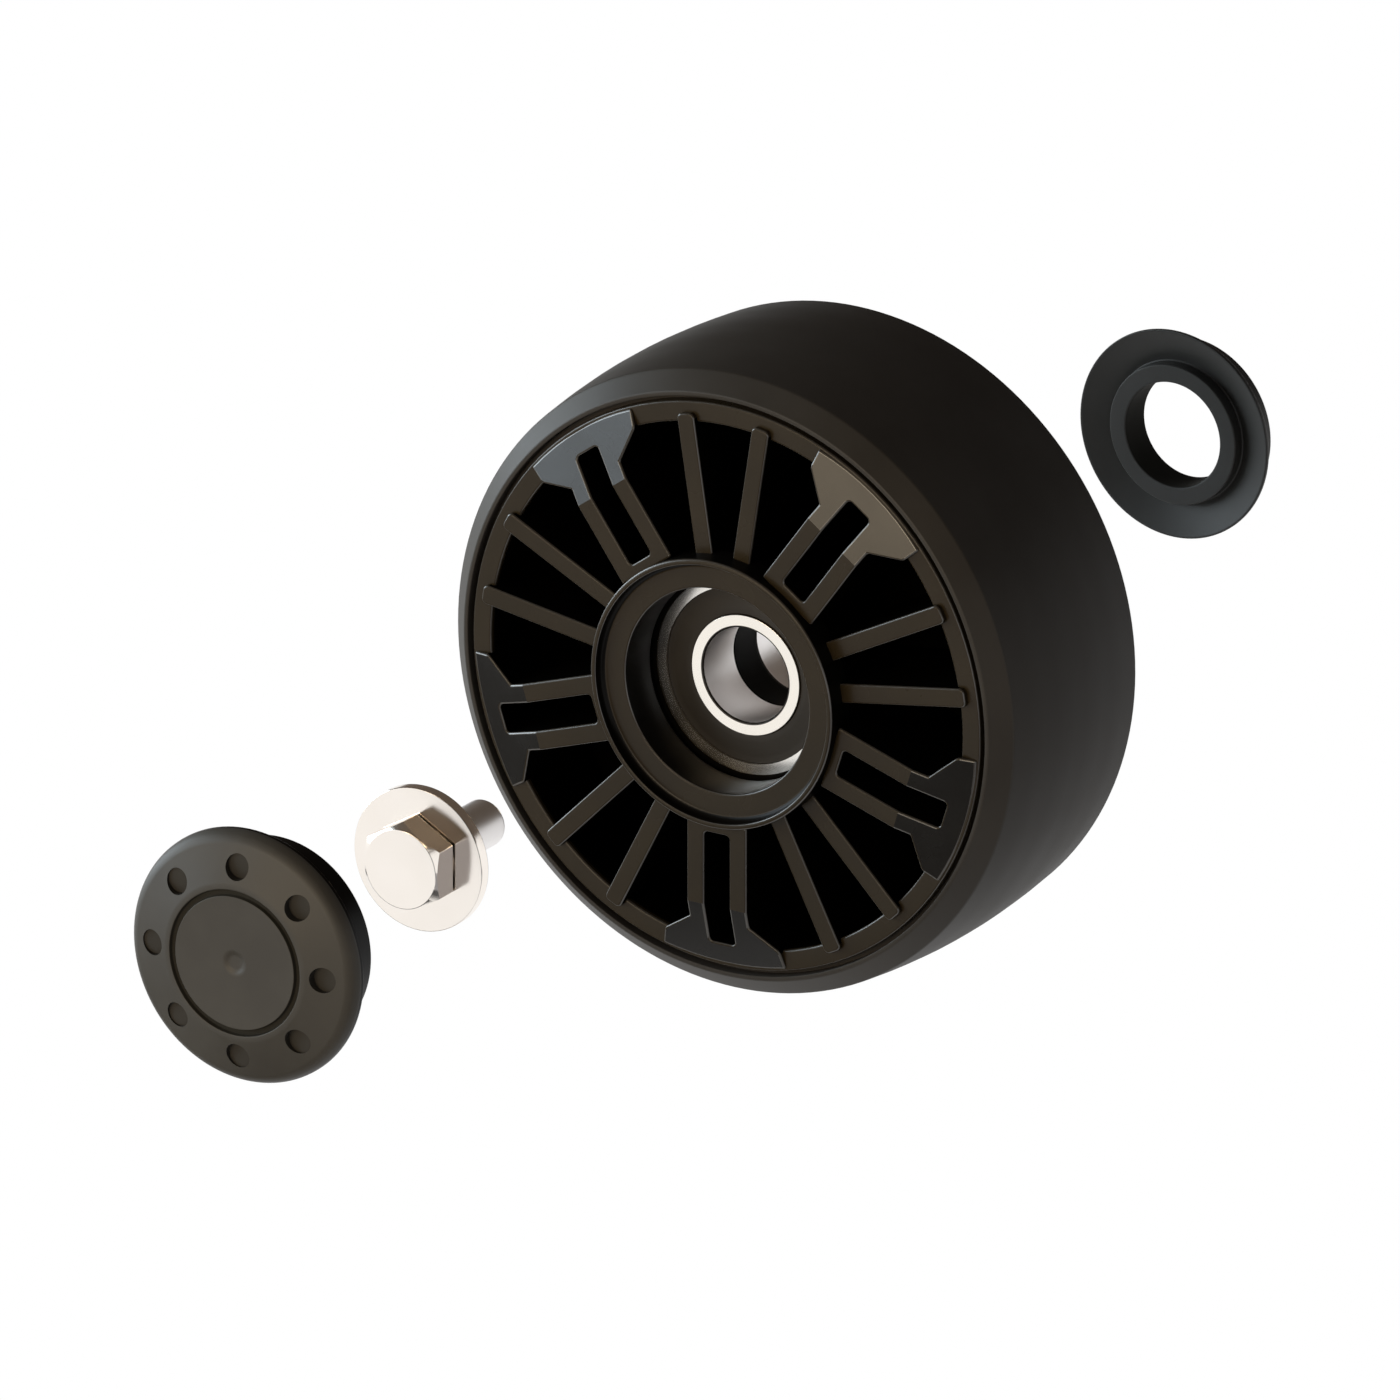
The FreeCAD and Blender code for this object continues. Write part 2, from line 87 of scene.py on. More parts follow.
def drawOutline(name, corners, placeOf):
    # a closed wire through the corners; the third number of a corner rounds it
    places = [Vector(placeOf(c[0] * mm, c[1] * mm)) for c in corners]
    piece = startPoint(name, places[0])
    for before, after in zip(places, places[1:] + places[:1]):
        bpy.ops.mesh.extrude_region_move(TRANSFORM_OT_translate={"value": after - before})
    bpy.ops.mesh.select_all(action="SELECT")
    bpy.ops.mesh.remove_doubles(threshold=tiny)
    for corner, place in zip(corners, places):
        if len(corner) < 3 or corner[2] <= 0:
            continue
        selectWhere(piece, "VERT", lambda co: (co - place).length < 2 * tiny)
        segments = broadSegments if corner[2] > broadRound else fineSegments
        bpy.ops.mesh.bevel(offset=corner[2] * mm, offset_type="OFFSET", segments=segments, affect="VERTICES")
    bpy.ops.mesh.select_all(action="SELECT")
    return piece


def closeMesh(piece):
    bpy.ops.object.mode_set(mode="EDIT")
    bpy.ops.mesh.select_mode(type="VERT")
    bpy.ops.mesh.select_all(action="SELECT")
    bpy.ops.mesh.remove_doubles(threshold=2 * tiny)
    bpy.ops.mesh.normals_make_consistent(inside=False)
    bpy.ops.object.mode_set(mode="OBJECT")
    return piece


def turnOutline(name, corners, steps=spinSteps):
    # spins a radius and y outline about the axle line
    piece = drawOutline(name, corners, lambda a, b: (a, b, 0))
    bpy.ops.mesh.spin(steps=steps, angle=2 * math.pi, center=(0, 0, 0), axis=(0, 1, 0))
    return closeMesh(piece)


def applyModifier(piece, kind, **values):
    makeActive(piece)
    modifier = piece.modifiers.new(kind.lower(), kind)
    for key, value in values.items():
        setattr(modifier, key, value)
    bpy.ops.object.modifier_apply(modifier=modifier.name)


def roundEdges(piece, width, segments, angle):
    applyModifier(piece, "BEVEL", width=width * mm, segments=segments, limit_method="ANGLE",
                  angle_limit=math.radians(angle), harden_normals=False)


def smoothPiece(piece, angle=30):
    makeActive(piece)
    bpy.ops.object.shade_smooth_by_angle(angle=math.radians(angle))
    applyModifier(piece, "WEIGHTED_NORMAL", mode="FACE_AREA", weight=50, keep_sharp=True)
    return piece


def turnedCopy(piece, degrees):
    other = piece.copy()
    other.data = piece.data.copy()
    other.data.transform(Matrix.Rotation(math.radians(degrees), 4, "Y"))
    bpy.context.scene.collection.objects.link(other)
    return other


def joinPieces(first, others):
    makeActive(first)
    for other in others:
        other.select_set(True)
    bpy.ops.object.join()
    return first


def shiftAlong(corners, offset):
    return [(c[0], c[1] + offset) + tuple(c[2:]) for c in corners]


def facePlace(face):
    # how far a face lies from the axle line, and where along it
    return math.hypot(face.center.x, face.center.z) / mm, face.center.y / mm


# materials

def newGroup(name, inputs, outputs):
    group = bpy.data.node_groups.new(name, "ShaderNodeTree")
    for label, kind, value in inputs:
        socket = group.interface.new_socket(label, in_out="INPUT", socket_type=kind)
        socket.default_value = value
    for label, kind in outputs:
        group.interface.new_socket(label, in_out="OUTPUT", socket_type=kind)
    return group, group.nodes.new("NodeGroupInput"), group.nodes.new("NodeGroupOutput")


def addNode(tree, kind, **values):
    node = tree.nodes.new("ShaderNode" + kind)
    for key, value in values.items():
        if key in node.bl_rna.properties:
            setattr(node, key, value)
        else:
            node.inputs[key].default_value = value
    return node


def mixTones(group, factor, first, second):
    mix = group.nodes.new("ShaderNodeMix")
    mix.data_type = "RGBA"
    colours = [socket for socket in mix.inputs if socket.type == "RGBA"]
    group.links.new(factor, mix.inputs["Factor"])
    group.links.new(first, colours[0])
    group.links.new(second, colours[1])
    return [socket for socket in mix.outputs if socket.type == "RGBA"][0]


def spreadGloss(group, noise, gloss, width):
    # lets the roughness wander about its given value
    shift = addNode(group, "Math", operation="SUBTRACT")
    shift.inputs[1].default_value = width / 2
    spread = addNode(group, "Math", operation="MULTIPLY_ADD")
    spread.inputs[1].default_value = width
    group.links.new(gloss, shift.inputs[0])
    group.links.new(noise, spread.inputs[0])
    group.links.new(shift.outputs[0], spread.inputs[2])
    return spread.outputs[0]


def makeGrain():
    # moulded surface: fine grain in height, slow drift in tone and gloss
    driftFrom, driftTo, glossWidth = 0.35, 0.68, 0.16
    group, given, result = newGroup("mouldGrain", [
        ("tone", "NodeSocketColor", (0.05, 0.05, 0.05, 1)),
        ("paler", "NodeSocketColor", (0.08, 0.08, 0.08, 1)),
        ("grainSize", "NodeSocketFloat", 2500.0),
        ("gloss", "NodeSocketFloat", 0.5),
        ("drift", "NodeSocketFloat", 60.0),
    ], [("colour", "NodeSocketColor"), ("roughness", "NodeSocketFloat"), ("height", "NodeSocketFloat")])
    link = group.links.new
    place = addNode(group, "TexCoord")
    slow = addNode(group, "TexNoise", Detail=3.0, Roughness=0.55)
    fine = addNode(group, "TexNoise", Detail=4.0, Roughness=0.6)
    link(place.outputs["Object"], slow.inputs["Vector"])
    link(place.outputs["Object"], fine.inputs["Vector"])
    link(given.outputs["drift"], slow.inputs["Scale"])
    link(given.outputs["grainSize"], fine.inputs["Scale"])
    ramp = addNode(group, "MapRange")
    ramp.inputs["From Min"].default_value = driftFrom
    ramp.inputs["From Max"].default_value = driftTo
    link(slow.outputs["Fac"], ramp.inputs["Value"])
    colour = mixTones(group, ramp.outputs["Result"], given.outputs["tone"], given.outputs["paler"])
    roughness = spreadGloss(group, slow.outputs["Fac"], given.outputs["gloss"], glossWidth)
    link(colour, result.inputs["colour"])
    link(roughness, result.inputs["roughness"])
    link(fine.outputs["Fac"], result.inputs["height"])
    return group


def makeTurning():
    # turned or ground metal: rings about the axle line and faint smudges
    smudgeScale, glossWidth = 140.0, 0.1
    group, given, result = newGroup("turnedMetal", [
        ("tone", "NodeSocketColor", (0.8, 0.78, 0.75, 1)),
        ("duller", "NodeSocketColor", (0.7, 0.68, 0.65, 1)),
        ("rings", "NodeSocketFloat", 4000.0),
        ("gloss", "NodeSocketFloat", 0.2),
    ], [("colour", "NodeSocketColor"), ("roughness", "NodeSocketFloat"), ("height", "NodeSocketFloat")])
    link = group.links.new
    place = addNode(group, "TexCoord")
    split = addNode(group, "SeparateXYZ")
    link(place.outputs["Object"], split.inputs[0])
    square = []
    for axis in ("X", "Z"):
        power = addNode(group, "Math", operation="MULTIPLY")
        link(split.outputs[axis], power.inputs[0])
        link(split.outputs[axis], power.inputs[1])
        square.append(power)
    total = addNode(group, "Math", operation="ADD")
    link(square[0].outputs[0], total.inputs[0])
    link(square[1].outputs[0], total.inputs[1])
    radius = addNode(group, "Math", operation="SQRT")
    link(total.outputs[0], radius.inputs[0])
    where = addNode(group, "CombineXYZ")
    link(radius.outputs[0], where.inputs["X"])
    link(split.outputs["Y"], where.inputs["Y"])
    rings = addNode(group, "TexNoise", Detail=2.0, Roughness=0.6)
    link(where.outputs[0], rings.inputs["Vector"])
    link(given.outputs["rings"], rings.inputs["Scale"])
    smudge = addNode(group, "TexNoise", Scale=smudgeScale, Detail=3.0, Roughness=0.5)
    link(place.outputs["Object"], smudge.inputs["Vector"])
    colour = mixTones(group, smudge.outputs["Fac"], given.outputs["tone"], given.outputs["duller"])
    roughness = spreadGloss(group, smudge.outputs["Fac"], given.outputs["gloss"], glossWidth)
    link(colour, result.inputs["colour"])
    link(roughness, result.inputs["roughness"])
    link(rings.outputs["Fac"], result.inputs["height"])
    return group


def makeMaterial(name, group, look):
    material = bpy.data.materials.new(name)
    material.use_nodes = True
    tree = material.node_tree
    surface = tree.nodes["Principled BSDF"]
    effect = tree.nodes.new("ShaderNodeGroup")
    effect.node_tree = group
    for socket in effect.inputs:
        socket.default_value = look[socket.name]
    relief = addNode(tree, "Bump", Strength=look["bump"], Distance=look["bumpDepth"] * mm)
    tree.links.new(effect.outputs["colour"], surface.inputs["Base Color"])
    tree.links.new(effect.outputs["roughness"], surface.inputs["Roughness"])
    tree.links.new(effect.outputs["height"], relief.inputs["Height"])
    tree.links.new(relief.outputs["Normal"], surface.inputs["Normal"])
    for key in ("Metallic", "Specular IOR Level"):
        if key in look:
            surface.inputs[key].default_value = look[key]
    return material


def rgb(r, g, b):
    return (r, g, b, 1.0)


mouldings = {
    "corePlastic": {
        "tone": rgb(0.0230, 0.0160, 0.0074), "paler": rgb(0.0280, 0.0196, 0.0094),
        "grainSize": 3200.0, "gloss": 0.26, "drift": 55.0,
        "bump": 0.08, "bumpDepth": 0.05, "Specular IOR Level": 0.18},
    # painted shade: near-black plastic for walls that lie in shade
    "paintedShadePlastic": {
        "tone": rgb(0.0032, 0.0027, 0.0022), "paler": rgb(0.0048, 0.0041, 0.0034),
        "grainSize": 3200.0, "gloss": 0.3, "drift": 55.0,
        "bump": 0.08, "bumpDepth": 0.05, "Specular IOR Level": 0.08},
    # painted shade: darker, glossier plastic for the heads that fold back
    "headShadePlastic": {
        "tone": rgb(0.0078, 0.0066, 0.0052), "paler": rgb(0.0096, 0.0082, 0.0066),
        "grainSize": 3200.0, "gloss": 0.26, "drift": 55.0,
        "bump": 0.08, "bumpDepth": 0.05, "Specular IOR Level": 0.31},
    # painted highlight: lighter, glossier plastic for the rounded front edges
    "edgeHighlightPlastic": {
        "tone": rgb(0.036, 0.031, 0.025), "paler": rgb(0.044, 0.038, 0.031),
        "grainSize": 3200.0, "gloss": 0.3, "drift": 55.0,
        "bump": 0.08, "bumpDepth": 0.05, "Specular IOR Level": 0.9},
    # painted shade: near-black plastic for the deep pockets between the spokes
    "pocketShadePlastic": {
        "tone": rgb(0.0012, 0.0010, 0.0008), "paler": rgb(0.0022, 0.0018, 0.0014),
        "grainSize": 1800.0, "gloss": 0.85, "drift": 45.0,
        "bump": 0.25, "bumpDepth": 0.08, "Specular IOR Level": 0.0},
    "tyreRubber": {
        "tone": rgb(0.0372, 0.0326, 0.0280), "paler": rgb(0.0468, 0.0413, 0.0358),
        "grainSize": 2200.0, "gloss": 0.5, "drift": 40.0,
        "bump": 0.16, "bumpDepth": 0.06, "Specular IOR Level": 0.09},
    "bevelRubber": {
        "tone": rgb(0.0312, 0.0272, 0.0228), "paler": rgb(0.0392, 0.0345, 0.0292),
        "grainSize": 2200.0, "gloss": 0.45, "drift": 40.0,
        "bump": 0.1, "bumpDepth": 0.05, "Specular IOR Level": 0.2},
    "capPlastic": {
        "tone": rgb(0.043, 0.0395, 0.034), "paler": rgb(0.053, 0.0492, 0.0427),
        "grainSize": 3000.0, "gloss": 0.46, "drift": 60.0,
        "bump": 0.12, "bumpDepth": 0.05, "Specular IOR Level": 0.24},
    "capShade": {
        "tone": rgb(0.029, 0.0262, 0.0220), "paler": rgb(0.034, 0.0310, 0.0265),
        "grainSize": 3000.0, "gloss": 0.6, "drift": 60.0,
        "bump": 0.12, "bumpDepth": 0.05, "Specular IOR Level": 0.15},
    "sealRubber": {
        "tone": rgb(0.0340, 0.0325, 0.0300), "paler": rgb(0.0400, 0.0382, 0.0355),
        "grainSize": 2600.0, "gloss": 0.5, "drift": 70.0,
        "bump": 0.15, "bumpDepth": 0.05, "Specular IOR Level": 0.26},
    "dullShade": {
        "tone": rgb(0.0220, 0.0205, 0.0168), "paler": rgb(0.0262, 0.0245, 0.0204),
        "grainSize": 2600.0, "gloss": 0.7, "drift": 70.0,
        "bump": 0.15, "bumpDepth": 0.05, "Specular IOR Level": 0.05},
    "shieldRubber": {
        "tone": rgb(0.0265, 0.0225, 0.0180), "paler": rgb(0.0320, 0.0275, 0.0225),
        "grainSize": 3600.0, "gloss": 0.5, "drift": 80.0,
        "bump": 0.1, "bumpDepth": 0.04, "Specular IOR Level": 0.25},
    "spacerPlastic": {
        "tone": rgb(0.0022, 0.0020, 0.0016), "paler": rgb(0.0035, 0.0032, 0.0026),
        "grainSize": 3000.0, "gloss": 0.6, "drift": 80.0,
        "bump": 0.1, "bumpDepth": 0.04, "Specular IOR Level": 0.08},
}
metals = {
    "bearingSteel": {
        "tone": rgb(0.93, 0.88, 0.80), "duller": rgb(0.90, 0.85, 0.77),
        "rings": 5200.0, "gloss": 0.12, "bump": 0.02, "bumpDepth": 0.01, "Metallic": 1.0},
    "boreSteel": {
        "tone": rgb(0.97, 0.945, 0.93), "duller": rgb(0.94, 0.91, 0.90),
        "rings": 2600.0, "gloss": 0.42, "bump": 0.03, "bumpDepth": 0.01, "Metallic": 1.0},
    "darkSteel": {
        "tone": rgb(0.05, 0.045, 0.04), "duller": rgb(0.04, 0.036, 0.032),
        "rings": 2600.0, "gloss": 0.4, "bump": 0.03, "bumpDepth": 0.01, "Metallic": 0.8},
    "ringSteel": {
        "tone": rgb(0.92, 0.89, 0.84), "duller": rgb(0.88, 0.85, 0.80),
        "rings": 2600.0, "gloss": 0.23, "bump": 0.03, "bumpDepth": 0.01, "Metallic": 1.0},
    "ballSteel": {
        "tone": rgb(0.82, 0.81, 0.80), "duller": rgb(0.76, 0.75, 0.74),
        "rings": 1500.0, "gloss": 0.12, "bump": 0.02, "bumpDepth": 0.01, "Metallic": 1.0},
    "cageSteel": {
        "tone": rgb(0.60, 0.58, 0.55), "duller": rgb(0.50, 0.48, 0.46),
        "rings": 2500.0, "gloss": 0.38, "bump": 0.08, "bumpDepth": 0.02, "Metallic": 1.0},
    "platedSteel": {
        "tone": rgb(0.95, 0.89, 0.83), "duller": rgb(0.92, 0.86, 0.79),
        "rings": 4200.0, "gloss": 0.14, "bump": 0.03, "bumpDepth": 0.012, "Metallic": 1.0},
    "washerSteel": {
        "tone": rgb(0.95, 0.89, 0.83), "duller": rgb(0.92, 0.86, 0.79),
        "rings": 4200.0, "gloss": 0.18, "bump": 0.03, "bumpDepth": 0.012, "Metallic": 1.0},
}
grain = makeGrain()
turning = makeTurning()
finishes = {name: makeMaterial(name, grain, look) for name, look in mouldings.items()}
finishes.update({name: makeMaterial(name, turning, look) for name, look in metals.items()})
print("materials ready:", len(finishes))


def finishPiece(piece, finish, body, nodes):
    piece.data.materials.clear()
    piece.data.materials.append(finishes[finish])
    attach(piece, body)
    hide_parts(*nodes)
    print(piece.name, len(piece.data.polygons), "faces")


def addFinish(piece, finish):
    piece.data.materials.append(finishes[finish])
    return len(piece.data.materials) - 1


# wheel core: a turned hub, web and rim, then the spokes

core = {
    "hubRadius": 28.4, "hubFront": -29.2, "hubBack": 23.2,
    "lipInside": 27.2, "lipRound": 0.35, "lipFillet": 1.2,
    "land": -26.8, "capBore": 21.6, "grooveRadius": 22.4, "grooveFront": -17.5, "grooveRound": 0.15,
    "seat": 21.0, "seatFront": -16.0, "shoulder": 19.0, "shoulderHalf": 4.0,
    "sealRecess": 22.4, "recessFloor": 16.0, "recessRound": 0.4,
    "rimFront": -23.5, "rimBack": 30.0, "rimOutside": 59.8, "rimInside": 55.5, "wallRound": 0.5,
    "webFront": 0.3, "webBack": 6.3, "webFillet": 1.2, "pocketFront": -22.3, "pocketBack": 25.0,
    "sectors": 5, "spokeStart": 27.9, "spokeBack": 26.5,
    "thinFront": -24.8, "thinWidth": 4.0, "thinEnd": 57.5, "thinCorner": 1.1, "thinTurn": 27.1,
    "wideFront": -27.0, "wideHalf": 7.0, "slotHalf": 3.0, "slotStart": 30.4, "slotEnd": 54.6, "slotRound": 0.9,
    "fold": 46.0, "headNeck": 49.5, "headCorner": 53.7, "headHalf": 13.5, "headRound": 0.5,
    "headOutside": 59.3, "headSteps": 4, "headLift": 0.05,
    "edge": 0.45, "edgeSegments": 3, "thinAngle": 50, "wideAngle": 20, "smoothAngle": 35,
}


def makeCoreBase(c):
    wall, fillet, edge = c["wallRound"], c["webFillet"], c["edge"]
    return turnOutline("wheelCore", [
        (c["hubRadius"], c["hubFront"], wall), (c["hubRadius"], c["pocketFront"]),
        (c["hubRadius"], c["webFront"], fillet), (c["rimInside"], c["webFront"], fillet),
        (c["rimInside"], c["pocketFront"]), (c["rimInside"], c["rimFront"], wall),
        (c["rimOutside"], c["rimFront"], edge), (c["rimOutside"], c["rimBack"], edge),
        (c["rimInside"], c["rimBack"], wall), (c["rimInside"], c["webBack"], fillet),
        (c["hubRadius"], c["webBack"], fillet), (c["hubRadius"], c["hubBack"], wall),
        (c["sealRecess"], c["hubBack"], c["recessRound"]), (c["sealRecess"], c["recessFloor"]),
        (c["seat"], c["recessFloor"]), (c["seat"], c["shoulderHalf"]),
        (c["shoulder"], c["shoulderHalf"]), (c["shoulder"], -c["shoulderHalf"]),
        (c["seat"], -c["shoulderHalf"]), (c["seat"], c["seatFront"]),
        (c["grooveRadius"], c["seatFront"]), (c["grooveRadius"], c["grooveFront"]),
        (c["capBore"], c["grooveFront"], c["grooveRound"]), (c["capBore"], c["land"], wall),
        (c["lipInside"], c["land"], c["lipFillet"]), (c["lipInside"], c["hubFront"], c["lipRound"]),
    ])


def frontPlace(a, b):
    return (a, 0, -b)


def deepen(piece, front, back):
    # fills the outline and draws it out from front to back
    bpy.ops.mesh.select_all(action="SELECT")
    bpy.ops.mesh.edge_face_add()
    bpy.ops.transform.translate(value=(0, front * mm, 0))
    bpy.ops.mesh.extrude_region_move(TRANSFORM_OT_translate={"value": (0, (back - front) * mm, 0)})
    return closeMesh(piece)


def makeThinRib(c):
    half = c["thinWidth"] / 2
    piece = drawOutline("thinRib", [
        (-half, c["spokeStart"]), (half, c["spokeStart"]),
        (half, c["thinEnd"], c["thinCorner"]), (-half, c["thinEnd"], c["thinCorner"])], frontPlace)
    deepen(piece, c["thinFront"], c["spokeBack"])
    roundEdges(piece, c["edge"], c["edgeSegments"], c["thinAngle"])
    return piece


def foldHead(piece, c):
    # lets the front of the head fall back to the rim beyond the fold
    frontZone = c["wideFront"] + 0.5
    drop = (c["rimFront"] + c["headLift"] - c["wideFront"]) / (c["headOutside"] - c["fold"])
    for vertex in piece.data.vertices:
        beyond = -vertex.co.z / mm - c["fold"]
        if vertex.co.y < frontZone * mm and beyond > 0:
            vertex.co.y += beyond * drop * mm


def markFold(piece, c):
    # keeps the line where the head bends back as a crisp edge
    reach, depth = 0.1, 0.3
    bpy.ops.object.mode_set(mode="OBJECT")
    for edge in piece.data.edges:
        ends = [piece.data.vertices[v].co for v in edge.vertices]
        edge.use_edge_sharp = all(
            abs(e.z / mm + c["fold"]) < reach and e.y / mm < c["wideFront"] + depth for e in ends)


def makeWideSpoke(c):
    # half of the spoke is drawn, with half of its slot, and then mirrored
    side = math.atan2(c["headHalf"], c["headCorner"])
    turns = [side * i / c["headSteps"] for i in range(c["headSteps"], -1, -1)]
    rim = [(c["headOutside"] * math.sin(turn), c["headOutside"] * math.cos(turn)) for turn in turns]
    outline = [
        (0, c["spokeStart"]), (c["wideHalf"], c["spokeStart"]), (c["wideHalf"], c["headNeck"]),
        (c["headHalf"], c["headCorner"], c["headRound"])] + rim + [
        (0, c["slotEnd"]), (c["slotHalf"], c["slotEnd"], c["slotRound"]),
        (c["slotHalf"], c["slotStart"], c["slotRound"]), (0, c["slotStart"])]
    piece = drawOutline("wideSpoke", outline, frontPlace)
    deepen(piece, c["wideFront"], c["spokeBack"])
    points = piece.data.vertices
    selectWhere(piece, "FACE", lambda face: all(abs(points[v].co.x) < tiny for v in face.vertices))
    bpy.ops.mesh.delete(type="FACE")
    bpy.ops.mesh.select_all(action="SELECT")
    bpy.ops.mesh.bisect(plane_co=(0, 0, -c["fold"] * mm), plane_no=(0, 0, 1))
    bpy.ops.object.mode_set(mode="OBJECT")
    foldHead(piece, c)
    applyModifier(piece, "MIRROR", use_axis=(True, False, False), merge_threshold=10 * tiny)
    closeMesh(piece)
    roundEdges(piece, c["edge"], c["edgeSegments"], c["wideAngle"])
    markFold(piece, c)
    return piece


def shadePockets(piece, c):
    # the deep walls between the spokes get a near-black copy of the plastic: painted shade
    margin = 0.3
    pocket = addFinish(piece, "pocketShadePlastic")
    for face in piece.data.polygons:
        across, deep = facePlace(face)
        between = c["hubRadius"] - margin < across < c["rimInside"] + margin
        if between and c["pocketFront"] - slight < deep < c["pocketBack"]:
            face.material_index = pocket


def highlightEdges(piece):
    # rounded front edges get a lighter, glossier copy of the plastic: painted highlight
    steepest, flattest, frontZone = -0.15, -0.95, -20.0
    edge = addFinish(piece, "edgeHighlightPlastic")
    for face in piece.data.polygons:
        if flattest < face.normal.y < steepest and facePlace(face)[1] < frontZone:
            face.material_index = edge


def shadeWalls(piece, c):
    # the walls of the bore, the lip with its fillet, and the hub get a near-black copy of the plastic: painted
    # shade
    margin, upright, nearlyFlat = 0.1, 0.5, 0.9
    wall = addFinish(piece, "paintedShadePlastic")
    for face in piece.data.polygons:
        across, deep = facePlace(face)
        tilt = abs(face.normal.y)
        bore = across < c["grooveRadius"] + margin and c["land"] + 2 * margin < deep < c["seatFront"] + margin
        onHub = abs(across - c["hubRadius"]) < 2 * margin and tilt < upright
        hub = onHub and c["hubFront"] + 4 * margin < deep < c["pocketFront"]
        inLip = c["lipInside"] - c["lipFillet"] < across < c["lipInside"] + margin
        lip = inLip and c["hubFront"] + 2 * margin < deep < c["land"]
        if bore or hub or lip and tilt < nearlyFlat:
            face.material_index = wall
        elif lip:
            face.material_index = 0


def shadeHeads(piece, c):
    # the heads that fold back get a darker, glossier copy of the plastic: painted shade
    steepest, flattest, smallest = -0.955, -0.975, 5.0
    head = addFinish(piece, "headShadePlastic")
    for face in piece.data.polygons:
        sloped = flattest < face.normal.y < steepest and face.area > smallest * mm * mm
        if sloped and facePlace(face)[0] > c["fold"]:
            face.material_index = head


wheelCore = makeCoreBase(core)
wide = makeWideSpoke(core)
thin = makeThinRib(core)
sector = 360 / core["sectors"]
spokes = [wide] + [turnedCopy(wide, sector * i) for i in range(1, core["sectors"])]
for i in range(core["sectors"]):
    spokes += [turnedCopy(thin, sector * i + side * core["thinTurn"]) for side in (1, -1)]
bpy.data.objects.remove(thin)
joinPieces(wheelCore, spokes)
smoothPiece(wheelCore, core["smoothAngle"])
finishPiece(wheelCore, "corePlastic", "wheel", ["wheel_core"])
shadePockets(wheelCore, core)
highlightEdges(wheelCore)
shadeWalls(wheelCore, core)
shadeHeads(wheelCore, core)

# tyre

tyre = {
    "rim": 59.8, "gap": 60.9, "lip": 61.8, "corner": 65.6, "flank": 66.4, "crown": 67.0,
    "front": -23.7, "back": 30.2, "bevel": 3.7, "flankRun": 8.0, "crownRun": 18.0, "gapDepth": 2.7,
    "gapRound": 0.2, "gapEdge": 0.25, "lipRound": 0.3, "cornerRound": 0.35,
    "flankRound": 2.0, "crownRound": 3.0, "smoothAngle": 24,
}


def tyreSide(t, side, inward):
    # one side of the outline, from the foot of the gap out to the crown
    foot = side + inward * t["gapDepth"]
    corner = side + inward * t["bevel"]
    return [
        (t["rim"], foot), (t["gap"], foot, t["gapRound"]), (t["gap"], side, t["gapEdge"]),
        (t["lip"], side, t["lipRound"]), (t["corner"], corner, t["cornerRound"]),
        (t["flank"], corner + inward * t["flankRun"], t["flankRound"]),
        (t["crown"], corner + inward * t["crownRun"], t["crownRound"])]


def shadeBevels(piece):
    # the bevels at both sides are moulded smoother than the tread
    steepest, flattest = 0.35, 0.95
    bevel = addFinish(piece, "bevelRubber")
    for face in piece.data.polygons:
        if steepest < abs(face.normal.y) < flattest:
            face.material_index = bevel


tyreOutline = tyreSide(tyre, tyre["front"], 1) + tyreSide(tyre, tyre["back"], -1)[::-1]
tyreTread = turnOutline("tyreTread", tyreOutline, fineSteps)
smoothPiece(tyreTread, tyre["smoothAngle"])
finishPiece(tyreTread, "tyreRubber", "wheel", ["tyre"])
shadeBevels(tyreTread)

# bearings

bearing = {
    "bore": 10.02, "inner": 12.7, "outer": 18.0, "outside": 21.0, "half": 6.0, "centre": 10.0,
    "pitch": 15.5, "race": 3.26, "raceSteps": 3, "edge": 0.45, "innerEdge": 0.15, "outerEdge": 0.15,
    "shieldSeat": 18.7, "shieldIn": 12.78, "shieldNear": 5.6, "shieldFar": 4.7, "shieldDish": 0.25,
    "shieldFlat": 1.2, "shieldMargin": 1.4, "shieldEdge": 0.2, "shieldRound": 0.3,
}


def raceLine(b, shoulder, outward):
    steps = b["raceSteps"]
    widest = math.acos(abs(shoulder - b["pitch"]) / b["race"])
    turns = [widest * i / steps for i in range(-steps, steps + 1)]
    return [(b["pitch"] + outward * b["race"] * math.cos(a), b["race"] * math.sin(a)) for a in turns]


def makeInnerRing(b, place, centre):
    half = b["half"]
    ring = turnOutline(place + "InnerRing", shiftAlong([
        (b["bore"], -half, b["edge"]), (b["inner"], -half, b["innerEdge"])] + raceLine(b, b["inner"], -1) + [
        (b["inner"], half, b["innerEdge"]), (b["bore"], half, b["edge"])], centre))
    smoothPiece(ring)
    finishPiece(ring, "bearingSteel", "axle_side", [place + "_bearing_inner_ring"])
    bore = addFinish(ring, "boreSteel")
    rounding = addFinish(ring, "darkSteel")
    roundingShare = 0.9
    for face in ring.data.polygons:
        across = facePlace(face)[0]
        if across < b["bore"] + slight:
            face.material_index = bore
        elif across < b["bore"] + b["edge"] * roundingShare:
            face.material_index = rounding


def makeOuterRing(b, place, centre):
    half = b["half"]
    step = b["shieldFar"] - b["shieldDish"]
    ring = turnOutline(place + "OuterRing", shiftAlong([
        (b["outside"], -half, b["outerEdge"]), (b["outside"], half, b["outerEdge"]), (b["shieldSeat"], half),
        (b["shieldSeat"], step), (b["outer"], step)] + raceLine(b, b["outer"], 1)[::-1] + [
        (b["outer"], -step), (b["shieldSeat"], -step), (b["shieldSeat"], -half)], centre))
    smoothPiece(ring)
    finishPiece(ring, "ringSteel", "wheel", [place + "_bearing_outer_ring"])


